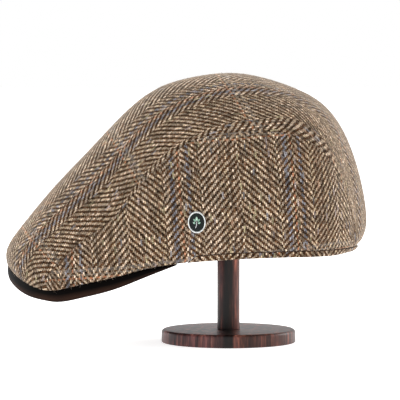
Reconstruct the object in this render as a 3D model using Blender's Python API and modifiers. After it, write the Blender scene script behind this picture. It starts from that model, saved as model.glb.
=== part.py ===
"""A herringbone tweed flat cap with a leather peak, held up on a plain turned wooden stand.

The peak points along -X, the wearer's left side faces -Y and +Z is up. The origin is the middle of the
stand's underside. The crown is a loft: each section is an arch from the lower edge of one side, over the
top, to the other side, in a plane that tilts with the cap's outline. Two seams divide it into a centre
panel and two side panels.
"""
import math

import bmesh
import bpy
import numpy as np

MM = 0.001

# Cap
CAP_LENGTH = 279 * MM          # nose to the back of the crown
CROWN_HEIGHT = 137.4 * MM      # lower edge to the top
CROWN_WIDTH = 206 * MM         # twice the length of which the table's half widths are shares
CLOTH = 2.0 * MM               # tweed wall
SEAM_GAP = 0.3 * MM            # from each panel's edge to the seam line
CLEARANCE = 0.3 * MM           # between pieces that rest on each other
RIM_FLARE = 28                 # degrees that the sides lean outwards at the lower edge
TOP_BULGE = 0.76               # how full the arch is above the seams, as a share of that below them

# Head opening and its turned-up hem
OPENING_LENGTH = 203 * MM
OPENING_WIDTH = 163 * MM
HEM_HEIGHT = 4.4 * MM
HEM_THICKNESS = 2.6 * MM
HEM_REACH = 139 * MM           # from the nose back to where the hem begins
HEM_RUN_IN = 10 * MM           # length over which the cloth edge rises to make room for it
HEM_MARKS = (0.2, 0.5, 0.8, 1.1)  # shares of the run-in with a section each; the hem begins at the first

# Peak
PEAK_REACH = 133 * MM          # from the nose back to where the leather ends
PEAK_RIM_HEIGHT = 7.6 * MM     # height of the leather edge that shows under the tweed
PEAK_RIM_THICKNESS = 3.0 * MM
PEAK_RIM_TAPER = 80 * MM       # length over which the edge thins towards its rear ends
PEAK_RIM_END = 2.0 * MM        # height that it has there
PEAK_RIM_SWELL = 0.5 * MM      # how far its face swells beyond its top and bottom
PEAK_PLATE = 2.4 * MM
PEAK_ARCH = 12 * MM            # rise of the plate's inner edge above the lower edge of the crown

# Badge on the left side
BADGE_WIDTH = 13.6 * MM
BADGE_HEIGHT = 17.0 * MM
BADGE_THICKNESS = 1.9 * MM
BADGE_RIM = 1.3 * MM           # width of the raised rim
BADGE_BACK = 0.7 * MM          # thickness under the enamel
BADGE_SECTION = 6.88           # section of the crown, counted in table rows, on which it sits
BADGE_RISE = 0.285             # share of the way up the side panel

# Stand
POST_DIAMETER = 17.5 * MM
BASE_DIAMETER = 104 * MM
BASE_HEIGHT = 10 * MM
BASE_EDGE = 2.5 * MM           # rounding of the base's edge
DOME_DIAMETER = 84 * MM
DOME_RADIUS = 52 * MM          # of the curve that the crown rests on
DOME_EDGE = 4 * MM             # height of its straight rim
DOME_CLEARANCE = 0.6 * MM      # under the cloth, whose flat faces dip a little between sections
RIM_ABOVE_FLOOR = 70.3 * MM    # lower edge of the crown above the floor
POST_FROM_NOSE = 172.4 * MM    # the post's axis behind the nose

# Fineness of the solids
SECTION_STEPS = 2              # lofted sections for each row of the table
SIDE_STEPS = 6
CENTRE_STEPS = 14
TURNED_STEPS = 32
BADGE_STEPS = 24

# Rows run from the peak's edge to the back. x is a share of CAP_LENGTH from the nose, z of CROWN_HEIGHT
# above the lower edge, half widths of half CROWN_WIDTH. seam_at is how far up from the rim to the top the
# seam crosses, lean the arch's slope there in degrees, bow a forward sag as a share of that way, and
# bulge how far the arch swells between the lower edge, the seam and the top.
COLUMNS = "rim_x rim_z rim_half top_x top_z seam_at seam_half lean bow bulge".split()
SECTIONS = (
    (0.110, -0.180, 0.585, 0.007, -0.094, 0.00, 0.585, 54, 0.09, 0.98),
    (0.133, -0.187, 0.645, 0.000, -0.026, 0.15, 0.612, 57, 0.06, 1.04),
    (0.167, -0.184, 0.708, 0.010, 0.048, 0.28, 0.635, 58, 0.03, 1.10),
    (0.222, -0.156, 0.780, 0.050, 0.160, 0.39, 0.665, 58, 0.01, 1.16),
    (0.303, -0.115, 0.830, 0.139, 0.375, 0.45, 0.700, 56, 0.00, 1.22),
    (0.380, -0.066, 0.845, 0.250, 0.612, 0.465, 0.742, 57, 0.00, 1.27),
    (0.455, -0.033, 0.845, 0.383, 0.872, 0.57, 0.752, 56, 0.00, 1.30),
    (0.550, -0.012, 0.858, 0.517, 0.981, 0.655, 0.755, 54, 0.00, 1.32),
    (0.658, 0.001, 0.856, 0.650, 1.002, 0.68, 0.745, 53, 0.00, 1.32),
    (0.772, 0.004, 0.768, 0.783, 0.934, 0.715, 0.700, 54, 0.00, 1.32),
    (0.855, 0.001, 0.633, 0.893, 0.803, 0.68, 0.600, 55, 0.00, 1.30),
    (0.908, 0.000, 0.483, 0.966, 0.533, 0.56, 0.462, 56, 0.00, 1.27),
    (0.940, 0.000, 0.352, 1.000, 0.217, 0.42, 0.350, 50, 0.00, 1.20),
    (0.951, 0.000, 0.282, 0.990, 0.080, 0.25, 0.275, 36, 0.00, 1.12),
    (0.960, 0.000, 0.215, 0.974, 0.000, 0.00, 0.215, 26, 0.00, 1.00),
)
LAST = len(SECTIONS) - 1

# Material: colour, roughness, metallic
TWEED = ("tweed", (0.30, 0.22, 0.15), 0.95, 0.0)
LEATHER = ("leather", (0.045, 0.022, 0.014), 0.55, 0.0)
BADGE_METAL = ("badge_metal", (0.62, 0.62, 0.60), 0.28, 1.0)
ENAMEL = ("enamel", (0.010, 0.045, 0.028), 0.15, 0.0)
WOOD = ("wood", (0.075, 0.030, 0.018), 0.45, 0.0)


def clear_scene():
    for thing in list(bpy.data.objects):
        bpy.data.objects.remove(thing, do_unlink=True)


def material(name, colour, roughness, metallic):
    made = bpy.data.materials.get(name)
    if made is None:
        made = bpy.data.materials.new(name)
        made.use_nodes = True
        shader = made.node_tree.nodes["Principled BSDF"]
        shader.inputs["Base Color"].default_value = (*colour, 1.0)
        shader.inputs["Roughness"].default_value = roughness
        shader.inputs["Metallic"].default_value = metallic
    return made


def mesh_object(name, vertices, faces, finish, collection):
    """A smooth-shaded mesh object with its faces turned outwards."""
    mesh = bpy.data.meshes.new(name)
    mesh.from_pydata([tuple(v) for v in vertices], [], faces)
    shape = bmesh.new()
    shape.from_mesh(mesh)
    bmesh.ops.recalc_face_normals(shape, faces=shape.faces)
    shape.to_mesh(mesh)
    shape.free()
    mesh.shade_smooth()
    mesh.set_sharp_from_angle(angle=math.radians(40))
    mesh.materials.append(material(*finish))
    made = bpy.data.objects.new(name, mesh)
    collection.objects.link(made)
    return made


def curvature(rows):
    """Second derivatives of a natural cubic spline through evenly spaced rows."""
    count = len(rows)
    system = np.eye(count)
    for i in range(1, count - 1):
        system[i, i - 1:i + 2] = (1, 4, 1)
    right = np.zeros_like(rows)
    right[1:-1] = 6 * (rows[2:] - 2 * rows[1:-1] + rows[:-2])
    return np.linalg.solve(system, right)


ROWS = np.array(SECTIONS)
ROWS_BEND = curvature(ROWS)


def section(t):
    """The crown's section t rows along the table, as real sizes by column name."""
    i = min(int(t), LAST - 1)
    after = t - i
    before = 1 - after
    values = (before * ROWS[i] + after * ROWS[i + 1]
              + (before ** 3 - before) * ROWS_BEND[i] / 6
              + (after ** 3 - after) * ROWS_BEND[i + 1] / 6)
    cut = dict(zip(COLUMNS, values))
    for name in ("rim_x", "top_x"):
        cut[name] = cut[name] * CAP_LENGTH - POST_FROM_NOSE
    for name in ("rim_z", "top_z"):
        cut[name] = cut[name] * CROWN_HEIGHT + RIM_ABOVE_FLOOR
    for name in ("rim_half", "seam_half"):
        cut[name] = cut[name] * CROWN_WIDTH / 2
    return cut


def ease(value):
    """0 to 1, with level ends."""
    share = min(max(value, 0.0), 1.0)
    return share * share * (3 - 2 * share)


def hem_lift(x):
    """How far the cloth's edge is raised above the cap's lower edge to make room for the hem."""
    start = HEM_REACH - POST_FROM_NOSE
    return (HEM_HEIGHT + CLEARANCE) * ease((x - start) / HEM_RUN_IN)


def hermite(start, end, start_way, end_way, bulge, share):
    """Point on a curve that leaves start along start_way and reaches end along end_way."""
    pull = np.linalg.norm(end - start) * bulge
    square = share * share
    cube = square * share
    return ((2 * cube - 3 * square + 1) * start + (cube - 2 * square + share) * pull * start_way
            + (3 * square - 2 * cube) * end + (cube - square) * pull * end_way)


def way(degrees):
    """Unit direction in a section's plane: 0 points to the middle, 90 up, more leans outwards."""
    angle = math.radians(degrees)
    return np.array((-math.cos(angle), math.sin(angle)))


def crown(t, v):
    """Point of the crown's outer face on the left: v is 0 at the edge, 1 at the seam, 2 at the top."""
    cut = section(t)
    low = np.array((cut["rim_x"], cut["rim_z"] + hem_lift(cut["rim_x"])))
    high = np.array((cut["top_x"], cut["top_z"] + hem_lift(cut["top_x"]) * ease(t - LAST + 1)))
    rise = np.linalg.norm(high - low)
    up = (high - low) / rise
    edge = np.array((cut["rim_half"], 0.0))
    seam = np.array((cut["seam_half"], cut["seam_at"] * rise))
    top = np.array((0.0, rise))
    if v <= 1:
        half, height = hermite(edge, seam, way(90 + RIM_FLARE), way(cut["lean"]), cut["bulge"], v)
    else:
        half, height = hermite(seam, top, way(cut["lean"]), way(0), cut["bulge"] * TOP_BULGE, v - 1)
    share = height / rise
    sag = cut["bow"] * rise * 4 * share * (1 - share)
    x, z = low + up * height + sag * np.array((-up[1], up[0]))
    return np.array((x, -half, z))


def mirrored(point):
    return point * np.array((1, -1, 1))


def section_at(x):
    """The section whose lower edge lies at x."""
    samples = np.linspace(0, LAST, 40 * LAST + 1)
    return float(np.interp(x, [section(t)["rim_x"] for t in samples], samples))


def both_sides(left_half):
    """A path from the left over the middle to the right, from its left half."""
    left_half = list(left_half)
    return left_half + [mirrored(p) for p in reversed(left_half[:-1])]


def grid_faces(rows, columns):
    return [(i * columns + j, i * columns + j + 1, (i + 1) * columns + j + 1, (i + 1) * columns + j)
            for i in range(rows - 1) for j in range(columns - 1)]


def cloth_panel(name, grid, collection):
    """A tweed wall whose outer face is the grid."""
    rows, columns = len(grid), len(grid[0])
    vertices = [point for row in grid for point in row]
    panel = mesh_object(name, vertices, grid_faces(rows, columns), TWEED, collection)
    middle = vertices[(rows // 2) * columns + columns // 2]
    inside = np.array((0.0, 0.0, RIM_ABOVE_FLOOR))
    face = panel.data.polygons[(rows // 2) * (columns - 1) + columns // 2]
    if np.dot(np.array(face.normal), middle - inside) < 0:
        panel.data.flip_normals()
    wall = panel.modifiers.new("wall", "SOLIDIFY")
    wall.thickness = CLOTH
    wall.offset = -1
    wall.use_even_offset = True
    wall.use_quality_normals = True
    return panel


def arch_length(t, start, end, steps=8):
    points = [crown(t, v) for v in np.linspace(start, end, steps + 1)]
    return float(np.sum(np.linalg.norm(np.diff(points, axis=0), axis=1)))


def sections():
    """The lofted sections, counted in table rows. All pieces share them, so their edges match."""
    hem = [section_at(HEM_REACH + HEM_RUN_IN * share - POST_FROM_NOSE) for share in HEM_MARKS]
    marks = [section_at(PEAK_REACH - POST_FROM_NOSE)] + hem
    even = np.linspace(0, LAST, SECTION_STEPS * LAST + 1)
    return sorted(marks + [t for t in even if min(abs(t - mark) for mark in marks) > 0.1])


def side_panel_grid():
    """The left side between the lower edge and the seam, short of the points where those two meet."""
    shortest = CLOTH + SEAM_GAP
    samples = np.linspace(0, LAST, 20 * LAST + 1)
    long_enough = [t for t in samples if arch_length(t, 0, 1) > shortest]
    first, last = long_enough[0], long_enough[-1]
    inner = [t for t in sections() if first + 0.1 < t < last - 0.1]
    grid = []
    for t in [first] + inner + [last]:
        end = 1 - SEAM_GAP / arch_length(t, 0, 1)
        grid.append([crown(t, v) for v in np.linspace(0, end, SIDE_STEPS + 1)])
    return grid


def build_side_panels(collection):
    left = side_panel_grid()
    right = [[mirrored(point) for point in row] for row in left]
    cloth_panel("side_panel_left", left, collection)
    cloth_panel("side_panel_right", right, collection)


def centre_half(t):
    """Left half of an arch of the centre panel, from the seam to the top."""
    start = 1 + SEAM_GAP / arch_length(t, 1, 2)
    return [crown(t, v) for v in np.linspace(start, 2, CENTRE_STEPS // 2 + 1)]


def build_centre_panel(collection):
    grid = [both_sides(centre_half(t)) for t in sections()]
    cloth_panel("centre_panel", grid, collection)


def outward(path):
    """Level unit vectors that point away from the cap along a path that runs from left to right."""
    ways = np.gradient(path, axis=0)
    middle = path[len(path) // 2] - path[0]
    normals = np.stack([ways[:, 1], -ways[:, 0], np.zeros(len(path))], axis=1)
    normals /= np.linalg.norm(normals, axis=1)[:, None]
    if np.dot(normals[len(path) // 2], middle) < 0:
        normals = -normals
    return normals


def swept(name, loops, finish, collection):
    """A closed solid through equal loops of points, with flat ends."""
    count = len(loops[0])
    vertices = [point for loop in loops for point in loop]
    faces = []
    for i in range(len(loops) - 1):
        for j in range(count):
            k = (j + 1) % count
            faces.append((i * count + j, i * count + k, (i + 1) * count + k, (i + 1) * count + j))
    faces.append(tuple(range(count)))
    faces.append(tuple(len(vertices) - count + j for j in range(count)))
    return mesh_object(name, vertices, faces, finish, collection)


def opening_front(share):
    """Point on the front of the head opening's edge: share runs -1, left end of the peak, to 1, right."""
    centre_x = section(LAST)["top_x"] - HEM_THICKNESS - OPENING_LENGTH / 2
    root = PEAK_REACH - POST_FROM_NOSE
    root_angle = math.acos((centre_x - root) / (OPENING_LENGTH / 2))
    angle = share * root_angle
    level = RIM_ABOVE_FLOOR - CLEARANCE + PEAK_ARCH * ease(1 - abs(share))
    return np.array((centre_x - math.cos(angle) * OPENING_LENGTH / 2,
                     math.sin(angle) * OPENING_WIDTH / 2, level))


def build_peak(collection):
    """The leather plate under the front of the crown, with its deep edge showing below the tweed."""
    root = section_at(PEAK_REACH - POST_FROM_NOSE)
    side = [crown(t, 0) for t in reversed(sections()) if t <= root]
    path = np.array(both_sides(side + centre_half(0)))
    away = outward(path)
    run = np.concatenate(([0], np.cumsum(np.linalg.norm(np.diff(path, axis=0), axis=1))))
    loops = []
    for i, edge in enumerate(path):
        to_end = min(run[i], run[-1] - run[i])
        fill = 1 - (1 - min(to_end / PEAK_RIM_TAPER, 1)) ** 3
        height = PEAK_RIM_END + (PEAK_RIM_HEIGHT - PEAK_RIM_END) * fill
        plate = min(PEAK_PLATE, 0.8 * height)
        top = edge - np.array((0, 0, CLEARANCE))
        down = np.array((0, 0, -1))
        rim = [top - away[i] * PEAK_RIM_SWELL,
               top + away[i] * PEAK_RIM_SWELL + down * height * 0.35,
               top + away[i] * PEAK_RIM_SWELL + down * height * 0.7,
               top - away[i] * PEAK_RIM_SWELL + down * height,
               top - away[i] * (PEAK_RIM_THICKNESS - PEAK_RIM_SWELL) + down * height]
        inner = opening_front(2 * run[i] / run[-1] - 1)
        start = top - away[i] * PEAK_RIM_THICKNESS
        plate_top = [start + (inner - start) * share for share in (1, 0.5, 0)]
        plate_low = [start + (inner - start) * share + down * plate for share in (0, 0.5, 1)]
        loops.append(rim + plate_low + plate_top)
    return swept("peak", loops, LEATHER, collection)


def build_hem(collection):
    """The turned-up edge of the cloth, from one end of the peak round the back to the other."""
    start = section_at(HEM_REACH + HEM_RUN_IN * HEM_MARKS[0] - POST_FROM_NOSE)
    side = [crown(t, 0) for t in sections() if t >= start]
    path = np.array(both_sides(side[:-1] + centre_half(LAST)))
    away = outward(path)
    loops = []
    for i, edge in enumerate(path):
        height = hem_lift(edge[0]) - CLEARANCE
        top = edge - np.array((0, 0, CLEARANCE))
        low = top - np.array((0, 0, height))
        mid = top - np.array((0, 0, height * 0.7))
        loops.append([top, mid, low - away[i] * HEM_THICKNESS * 0.4,
                      low - away[i] * HEM_THICKNESS * 0.75,
                      mid - away[i] * HEM_THICKNESS, top - away[i] * HEM_THICKNESS])
    return swept("hem_band", loops, TWEED, collection)


def turned(name, profile, steps, finish, collection):
    """A solid turned about Z. The profile of radius and height runs down its outer side from the axis."""
    made = mesh_object(name, [(radius, 0, height) for radius, height in profile], [], finish, collection)
    mesh = made.data
    shape = bmesh.new()
    shape.from_mesh(mesh)
    shape.verts.ensure_lookup_table()
    for i in range(len(profile) - 1):
        shape.edges.new((shape.verts[i], shape.verts[i + 1]))
    shape.to_mesh(mesh)
    shape.free()
    turn = made.modifiers.new("turn", "SCREW")
    turn.steps = steps
    turn.render_steps = steps
    turn.use_merge_vertices = True
    turn.merge_threshold = 0.00001
    return made


def badge_axes():
    """Where the badge sits on the left side panel, and its directions across, up and outwards."""
    step = 0.02
    place = crown(BADGE_SECTION, BADGE_RISE)
    back = crown(BADGE_SECTION + step, BADGE_RISE) - crown(BADGE_SECTION - step, BADGE_RISE)
    rise = crown(BADGE_SECTION, BADGE_RISE + step) - crown(BADGE_SECTION, BADGE_RISE - step)
    out = np.cross(back, rise)
    out /= np.linalg.norm(out)
    up = np.array((0, 0, 1)) - out * out[2]
    up /= np.linalg.norm(up)
    return place, np.cross(up, out), up, out


def badge_seat():
    """Height over the badge's place at which its flat back clears the curved cloth."""
    place, across, up, out = badge_axes()
    highest = 0.0
    for t in np.linspace(BADGE_SECTION - 0.5, BADGE_SECTION + 0.5, 21):
        for v in np.linspace(BADGE_RISE - 0.15, BADGE_RISE + 0.15, 21):
            offset = crown(t, v) - place
            inside = math.hypot(offset @ across / BADGE_WIDTH, offset @ up / BADGE_HEIGHT) < 0.55
            if inside:
                highest = max(highest, offset @ out)
    return highest + CLEARANCE


def set_badge_piece(piece):
    """Turn a piece made about Z to face out of the left side panel, its long side up."""
    place, across, up, out = badge_axes()
    seat = badge_seat()
    for vertex in piece.data.vertices:
        x, y, z = vertex.co
        vertex.co = place + across * x * BADGE_WIDTH + up * y * BADGE_HEIGHT + out * (z + seat)


def build_badge(collection):
    """An oval metal frame with a sunk enamel plate, both first made round and one unit wide."""
    rim_share = BADGE_RIM / BADGE_WIDTH
    sunk = BADGE_BACK
    profile = ((0, sunk), (0.5 - rim_share, sunk), (0.5 - rim_share, BADGE_THICKNESS * 0.9),
               (0.5 - rim_share / 2, BADGE_THICKNESS), (0.5 - rim_share * 0.1, BADGE_THICKNESS * 0.8),
               (0.5, BADGE_THICKNESS * 0.4), (0.5 - rim_share * 0.2, 0), (0, 0))
    frame = turned("badge_rim", profile, BADGE_STEPS, BADGE_METAL, collection)
    gap_share = CLEARANCE / BADGE_WIDTH
    low = sunk + CLEARANCE
    high = BADGE_THICKNESS * 0.8
    edge = 0.5 - rim_share - gap_share
    face = turned("badge_face", ((0, high), (edge - gap_share, high), (edge, high - CLEARANCE),
                                 (edge, low), (0, low)), BADGE_STEPS, ENAMEL, collection)
    for piece in (frame, face):
        bake(piece)
        set_badge_piece(piece)


def bake(piece):
    """Put a piece's modifiers into its mesh."""
    seen = piece.evaluated_get(bpy.context.evaluated_depsgraph_get())
    piece.data = bpy.data.meshes.new_from_object(seen)
    piece.modifiers.clear()


def dome_top():
    """Height of the dome's top: just under the crown's inner face over the post."""
    samples = np.linspace(LAST * 0.4, LAST * 0.75, 200)
    heights = [crown(t, 2) for t in samples]
    return float(np.interp(0, [p[0] for p in heights], [p[2] for p in heights])) - CLOTH - DOME_CLEARANCE


def build_stand(collection):
    """A dome, a round post and a round base, all on the Z axis."""
    summit = dome_top()
    radius = DOME_DIAMETER / 2
    arc = [math.asin(radius / DOME_RADIUS) * share for share in np.linspace(0, 1, 7)]
    profile = [(DOME_RADIUS * math.sin(a), summit - DOME_RADIUS * (1 - math.cos(a))) for a in arc]
    shoulder = profile[-1][1]
    profile.append((radius, shoulder - DOME_EDGE))
    profile.append((0, shoulder - DOME_EDGE))
    turned("stand_top", profile, TURNED_STEPS, WOOD, collection)

    low = BASE_HEIGHT + CLEARANCE
    high = shoulder - DOME_EDGE - CLEARANCE
    bpy.ops.mesh.primitive_cylinder_add(vertices=TURNED_STEPS, radius=POST_DIAMETER / 2,
                                        depth=high - low, location=(0, 0, (high + low) / 2))
    post = bpy.context.object
    post.name = "stand_post"
    post.data.materials.append(material(*WOOD))
    post.data.shade_smooth()
    post.data.set_sharp_from_angle(angle=math.radians(40))
    for holder in post.users_collection:
        holder.objects.unlink(post)
    collection.objects.link(post)

    radius = BASE_DIAMETER / 2
    corner = [math.radians(a) for a in (0, 30, 60, 90)]
    profile = [(0, BASE_HEIGHT)]
    profile += [(radius - BASE_EDGE * (1 - math.sin(a)), BASE_HEIGHT - BASE_EDGE * (1 - math.cos(a)))
                for a in corner]
    profile += [(radius, 0), (0, 0)]
    turned("stand_base", profile, TURNED_STEPS, WOOD, collection)


def main():
    clear_scene()
    collection = bpy.data.collections.new("flat_cap_on_stand")
    bpy.context.scene.collection.children.link(collection)
    build_centre_panel(collection)
    build_side_panels(collection)
    build_hem(collection)
    build_peak(collection)
    build_badge(collection)
    build_stand(collection)


main()
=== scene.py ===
"""Looks of a herringbone tweed flat cap with a leather peak, held up on a plain turned wooden stand.

Everything is in metres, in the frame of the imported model: the peak points along -X, the wearer's left side
faces -Y, +Z is up and the origin is the middle of the stand's underside.
"""

import math
from functools import partialmethod

import bmesh
import bpy
import numpy as np
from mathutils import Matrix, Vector


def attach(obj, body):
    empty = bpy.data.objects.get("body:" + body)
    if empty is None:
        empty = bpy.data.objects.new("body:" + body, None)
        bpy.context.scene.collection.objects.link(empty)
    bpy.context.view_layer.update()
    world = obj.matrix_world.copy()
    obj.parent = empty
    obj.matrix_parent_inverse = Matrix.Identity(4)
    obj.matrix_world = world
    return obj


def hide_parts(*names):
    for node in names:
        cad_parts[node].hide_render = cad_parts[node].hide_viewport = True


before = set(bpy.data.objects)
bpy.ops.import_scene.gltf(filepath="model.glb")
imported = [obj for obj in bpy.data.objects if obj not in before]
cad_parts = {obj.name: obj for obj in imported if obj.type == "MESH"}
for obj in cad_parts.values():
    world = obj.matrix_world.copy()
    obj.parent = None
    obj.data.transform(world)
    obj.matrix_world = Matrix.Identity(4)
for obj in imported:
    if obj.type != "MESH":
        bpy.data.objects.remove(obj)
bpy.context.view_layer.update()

MM = 0.001
MIRROR = np.array((1, -1, 1))  # from the left side to the right
rng = np.random.default_rng(7)

# Cap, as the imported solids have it
CAP_LENGTH = 279 * MM
CROWN_HEIGHT = 137.4 * MM
CROWN_WIDTH = 206 * MM
CLOTH = 2.0 * MM
CLEARANCE = 0.3 * MM
RIM_FLARE = 28
TOP_BULGE = 0.76
OPENING_LENGTH = 203 * MM
OPENING_WIDTH = 163 * MM
HEM_HEIGHT = 4.4 * MM
HEM_THICKNESS = 2.6 * MM
HEM_REACH = 139 * MM
HEM_RUN_IN = 10 * MM
PEAK_REACH = 133 * MM
PEAK_RIM_HEIGHT = 7.6 * MM
PEAK_RIM_THICKNESS = 3.0 * MM
PEAK_RIM_TAPER = 80 * MM
PEAK_RIM_SWELL = 0.5 * MM
PEAK_PLATE = 2.4 * MM
PEAK_ARCH = 12 * MM
RIM_ABOVE_FLOOR = 70.3 * MM
POST_FROM_NOSE = 172.4 * MM
BADGE_WIDTH = 13.6 * MM
BADGE_HEIGHT = 17.0 * MM
BADGE_THICKNESS = 1.9 * MM
BADGE_RIM = 1.3 * MM
BADGE_BACK = 0.7 * MM
BADGE_SECTION = 6.88  # rows along the table of sections
BADGE_RISE = 0.285  # share of the side panel's height
POST_DIAMETER = 17.5 * MM
BASE_DIAMETER = 104 * MM
BASE_HEIGHT = 10 * MM
BASE_EDGE = 2.5 * MM
DOME_DIAMETER = 84 * MM
DOME_RADIUS = 52 * MM
DOME_EDGE = 4 * MM
DOME_CLEARANCE = 0.6 * MM

# The crown's sections: x as shares of CAP_LENGTH, z of CROWN_HEIGHT, half widths of half CROWN_WIDTH
COLUMNS = "rim_x rim_z rim_half top_x top_z seam_at seam_half lean bow bulge".split()
SECTIONS = (
    (0.110, -0.180, 0.585, 0.007, -0.094, 0.00, 0.585, 54, 0.09, 0.98),
    (0.133, -0.187, 0.645, 0.000, -0.026, 0.15, 0.612, 57, 0.06, 1.04),
    (0.167, -0.184, 0.708, 0.010, 0.048, 0.28, 0.635, 58, 0.03, 1.10),
    (0.222, -0.156, 0.780, 0.050, 0.160, 0.39, 0.665, 58, 0.01, 1.16),
    (0.303, -0.115, 0.830, 0.139, 0.375, 0.45, 0.700, 56, 0.00, 1.22),
    (0.380, -0.066, 0.845, 0.250, 0.612, 0.465, 0.742, 57, 0.00, 1.27),
    (0.455, -0.033, 0.845, 0.383, 0.872, 0.57, 0.752, 56, 0.00, 1.30),
    (0.550, -0.012, 0.858, 0.517, 0.981, 0.655, 0.755, 54, 0.00, 1.32),
    (0.658, 0.001, 0.856, 0.650, 1.002, 0.68, 0.745, 53, 0.00, 1.32),
    (0.772, 0.004, 0.768, 0.783, 0.934, 0.715, 0.700, 54, 0.00, 1.32),
    (0.855, 0.001, 0.633, 0.893, 0.803, 0.68, 0.600, 55, 0.00, 1.30),
    (0.908, 0.000, 0.483, 0.966, 0.533, 0.56, 0.462, 56, 0.00, 1.27),
    (0.940, 0.000, 0.352, 1.000, 0.217, 0.42, 0.350, 50, 0.00, 1.20),
    (0.951, 0.000, 0.282, 0.990, 0.080, 0.25, 0.275, 36, 0.00, 1.12),
    (0.960, 0.000, 0.215, 0.974, 0.000, 0.00, 0.215, 26, 0.00, 1.00),
)
LAST = len(SECTIONS) - 1

# Weave: a herringbone whose columns are wide, wide, narrow and narrow
WARP = 1.28 * MM  # from one warp thread to the next, across the columns
WEFT = 1.33 * MM  # from one weft thread to the next, along the columns
WIDE = 23  # warp threads in a wide column
NARROW = 11  # and in a narrow one
PERIOD = 2 * (WIDE + NARROW)
REPEAT = 4  # threads in which the twill repeats
WALE_HEIGHT = 0.10 * MM  # how far the diagonal ridges stand up in the mesh

# Where the cap departs from the solids
LEATHER_RISE = 2.6 * MM  # the cloth over the peak ends this much higher at the nose
LEATHER_LEAN = 1.2 * MM  # and the leather's upper edge reaches out this much
RISE_FULL = -125 * MM  # x ahead of which the whole rise applies
RISE_END = -40 * MM  # and x at which it has run out
PEAK_RIM_END = 0.4 * MM  # the leather runs on to the rear and ends this thin
HEM_TURN_FROM = 78 * MM  # behind this x the hem begins to lean, as it turns round the back
HEM_TURN_FULL = 96 * MM  # and behind this x it leans in full:
HEM_TURN_OUT = 1.5 * MM  # outwards at its top,
HEM_TURN_IN = 1.8 * MM  # inwards at its foot,
HEM_TURN_UP = 0.8 * MM  # and with its foot this much higher

# Fine meshes of the cloth
SEAM_HALF_GAP = 0.06 * MM
# How a wall's edge rolls over: millimetres from the edge, and depth under the face
EDGE_ROLL = ((0.0, 2.0), (0.0, 1.1), (0.06, 0.62), (0.2, 0.3), (0.45, 0.1), (0.85, 0.0))
SIDE_MESH = (290, 100)  # rows and columns
CENTRE_MESH = (420, 186)
SIDE_POINT = 0.7 * MM  # the side panel's points are cut off where it is this low
INNER_STEP = 4  # the inner face is this much coarser
NORMAL_STEP = 1e-3  # share of a section over which the crown's slope is taken
EDGE_SHARE = 2e-3  # nearer an edge than this share the slope is taken further in
BADGE_STEP = 0.02  # share of a section over which the crown's slope is taken under the badge

# Loose fibres on the cloth
SIDE_FIBRES = 4500
CENTRE_FIBRES = 8000
FIBRE_RINGS = 4
FIBRE_LENGTH = (1.2 * MM, 4.0 * MM)
FIBRE_LIFT = 1.1 * MM
FIBRE_RADIUS = 0.035 * MM
FIBRE_ROOT = 0.1 * MM  # how deep a fibre starts in the cloth
FIBRE_CURL = 0.35
FIBRE_TAPER = 0.6  # how much thinner its tip is


def curvature(rows):
    """Second derivatives of a natural cubic spline through evenly spaced rows."""
    count = len(rows)
    system = np.eye(count)
    for i in range(1, count - 1):
        system[i, i - 1:i + 2] = (1, 4, 1)
    right = np.zeros_like(rows)
    right[1:-1] = 6 * (rows[2:] - 2 * rows[1:-1] + rows[:-2])
    return np.linalg.solve(system, right)


ROWS = np.array(SECTIONS)
ROWS_BEND = curvature(ROWS)


def section(t):
    """The crown's sections t rows along the table, as real sizes by column name."""
    i = np.minimum(t.astype(int), LAST - 1)
    after = (t - i)[..., None]
    before = 1 - after
    values = (before * ROWS[i] + after * ROWS[i + 1]
              + (before ** 3 - before) * ROWS_BEND[i] / 6
              + (after ** 3 - after) * ROWS_BEND[i + 1] / 6)
    cut = {name: values[..., k] for k, name in enumerate(COLUMNS)}
    for name in ("rim_x", "top_x"):
        cut[name] = cut[name] * CAP_LENGTH - POST_FROM_NOSE
    for name in ("rim_z", "top_z"):
        cut[name] = cut[name] * CROWN_HEIGHT + RIM_ABOVE_FLOOR
    for name in ("rim_half", "seam_half"):
        cut[name] = cut[name] * CROWN_WIDTH / 2
    return cut


def ease(value):
    share = np.clip(value, 0, 1)
    return share * share * (3 - 2 * share)


def hem_lift(x):
    start = HEM_REACH - POST_FROM_NOSE
    return (HEM_HEIGHT + CLEARANCE) * ease((x - start) / HEM_RUN_IN)


def hermite(start, end, start_way, end_way, bulge, share):
    pull = np.linalg.norm(end - start, axis=-1, keepdims=True) * bulge[..., None]
    s = share[..., None]
    return ((2 * s ** 3 - 3 * s ** 2 + 1) * start + (s ** 3 - 2 * s ** 2 + s) * pull * start_way
            + (3 * s ** 2 - 2 * s ** 3) * end + (s ** 3 - s ** 2) * pull * end_way)


def way(degrees):
    angle = np.radians(degrees)
    return np.stack((-np.cos(angle), np.sin(angle)), axis=-1)


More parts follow.
